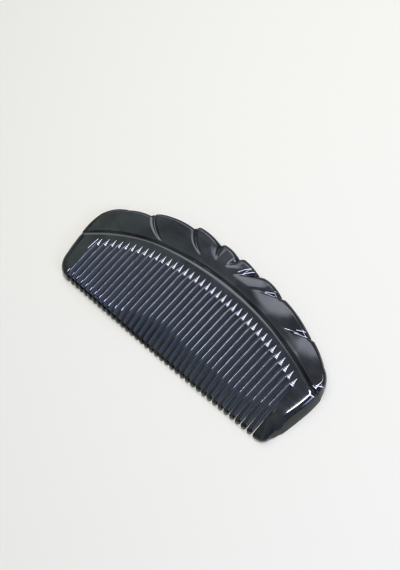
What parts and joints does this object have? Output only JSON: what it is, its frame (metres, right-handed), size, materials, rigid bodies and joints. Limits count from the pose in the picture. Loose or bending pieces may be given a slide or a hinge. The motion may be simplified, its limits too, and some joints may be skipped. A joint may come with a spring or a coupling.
{
  "type": "horn hair comb",
  "caption": "Flat crescent-shaped horn hair comb with fine straight teeth, a broad rounded guard at each end and a leaf carved along its scalloped back.",
  "frame": {"origin": "centre of the comb's own box, on the flat face it lies on", "axes": "+X along the comb towards the taller guard, -Y the way the teeth point, +Z out of the carved face"},
  "size_m": [0.1564, 0.0656, 0.0065],
  "materials": {
    "horn": "black horn, polished to a gloss"
  },
  "bodies": {
    "root": {"comb": "horn"}
  },
  "joints": []
}
